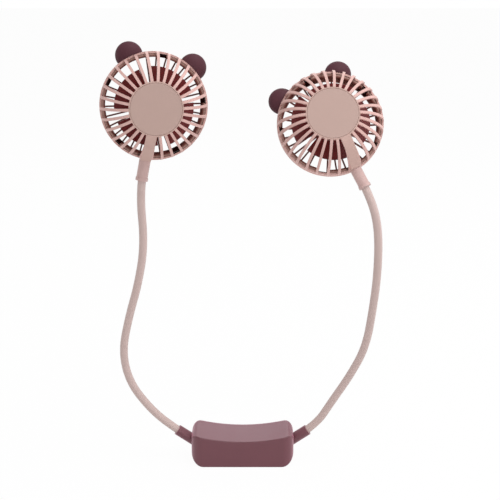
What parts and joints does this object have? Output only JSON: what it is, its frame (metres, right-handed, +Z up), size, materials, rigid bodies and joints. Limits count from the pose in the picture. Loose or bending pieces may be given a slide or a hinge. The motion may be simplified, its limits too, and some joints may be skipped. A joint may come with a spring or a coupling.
{
  "type": "electric neck fan",
  "caption": "Neck fan: caged fan heads with ball ears on bendable hoses that rise from a battery box with a hollowed top, button and charging socket.",
  "frame": {"origin": "middle of the battery box's flat underside, on the joint between its two shells", "axes": "+Z up from the box to the fan heads, +X across the box towards the head on the viewer's right, -Y the way the fans blow"},
  "size_m": [0.2115, 0.0653, 0.3327],
  "materials": {
    "cage_pink": "satin moulded plastic",
    "cap_tan": "matte moulded plastic",
    "ear_mauve": "matte moulded plastic",
    "blade_wine": "gloss moulded plastic",
    "collar_pink": "matte moulded plastic",
    "hose_pink": "smooth soft sleeve",
    "lead_black": "wire insulation",
    "steel": "bare metal",
    "rotor_iron": "stacked plates",
    "bush_brass": "sintered",
    "box_mauve": "matte moulded plastic",
    "fastener": "plated",
    "cell_wrap": "shrink-wrapped can",
    "pad_grey": "foam",
    "board_green": "coated laminate",
    "switch_black": "moulded plastic",
    "light_clear": "clear plastic"
  },
  "bodies": {
    "box": {"box_front_shell": "box_mauve", "box_back_shell": "box_mauve", "battery_cell": "cell_wrap", "cell_pad": "pad_grey", "control_board": "board_green", "board_screws": "fastener", "charging_socket": "fastener", "switch_body": "switch_black", "light_pipe": "light_clear", "shell_screws": "fastener", "left_box_collar": "box_mauve", "right_box_collar": "box_mauve", "left_box_lead": "lead_black", "right_box_lead": "lead_black"},
    "button": {"power_button": "box_mauve", "switch_plunger": "switch_black"},
    "left_arm": {"left_hose_sleeve": "hose_pink", "left_core_wire": "steel", "left_hose_lead": "lead_black"},
    "left_head": {"left_front_cage": "cage_pink", "left_front_cap": "cap_tan", "left_rear_cage": "cage_pink", "left_outer_ear": "ear_mauve", "left_inner_ear": "ear_mauve", "left_motor_can": "steel", "left_motor_bushing": "bush_brass", "left_motor_screws": "steel", "left_head_collar": "collar_pink", "left_collar_clip": "steel", "left_head_lead": "lead_black"},
    "left_fan": {"left_impeller": "blade_wine", "left_motor_shaft": "steel", "left_motor_rotor": "rotor_iron"},
    "right_arm": {"right_hose_sleeve": "hose_pink", "right_core_wire": "steel", "right_hose_lead": "lead_black"},
    "right_head": {"right_front_cage": "cage_pink", "right_front_cap": "cap_tan", "right_rear_cage": "cage_pink", "right_outer_ear": "ear_mauve", "right_inner_ear": "ear_mauve", "right_motor_can": "steel", "right_motor_bushing": "bush_brass", "right_motor_screws": "steel", "right_head_collar": "collar_pink", "right_collar_clip": "steel", "right_head_lead": "lead_black"},
    "right_fan": {"right_impeller": "blade_wine", "right_motor_shaft": "steel", "right_motor_rotor": "rotor_iron"}
  },
  "joints": [
    {"name": "power_press", "type": "slide", "parent": "box", "child": "button", "axis": [0, -1, 0], "range_m": [0, 0.0005], "stiffness_N_per_m": 2000},
    {"name": "left_arm_swing", "type": "hinge", "parent": "box", "child": "left_arm", "pos_m": [-0.0621, 0, 0.0326], "axis": [0, -1, 0], "range_deg": [-4, 25], "deforming": ["left_hose_sleeve", "left_core_wire", "left_hose_lead"]},
    {"name": "left_head_nod", "type": "hinge", "parent": "left_arm", "child": "left_head", "pos_m": [-0.07692, -0.0003, 0.22263], "axis": [0.9694, 0.1415, -0.2007], "range_deg": [-30, 30], "deforming": ["left_hose_sleeve", "left_core_wire", "left_hose_lead"]},
    {"name": "left_fan_spin", "type": "hinge", "parent": "left_head", "child": "left_fan", "pos_m": [-0.0654, 0.0104, 0.2858], "axis": [0.1562, -0.9859, 0.0593], "continuous": true},
    {"name": "right_arm_swing", "type": "hinge", "parent": "box", "child": "right_arm", "pos_m": [0.0614, -0.0002, 0.0328], "axis": [0, 1, 0], "range_deg": [-4, 25], "deforming": ["right_hose_sleeve", "right_core_wire", "right_hose_lead"]},
    {"name": "right_head_nod", "type": "hinge", "parent": "right_arm", "child": "right_head", "pos_m": [0.09526, -0.01391, 0.22144], "axis": [0.8942, 0.1977, 0.4018], "range_deg": [-30, 30], "deforming": ["right_hose_sleeve", "right_core_wire", "right_hose_lead"]},
    {"name": "right_fan_spin", "type": "hinge", "parent": "right_head", "child": "right_fan", "pos_m": [0.0662, 0.0162, 0.2713], "axis": [0, -0.8973, 0.4415], "continuous": true}
  ]
}
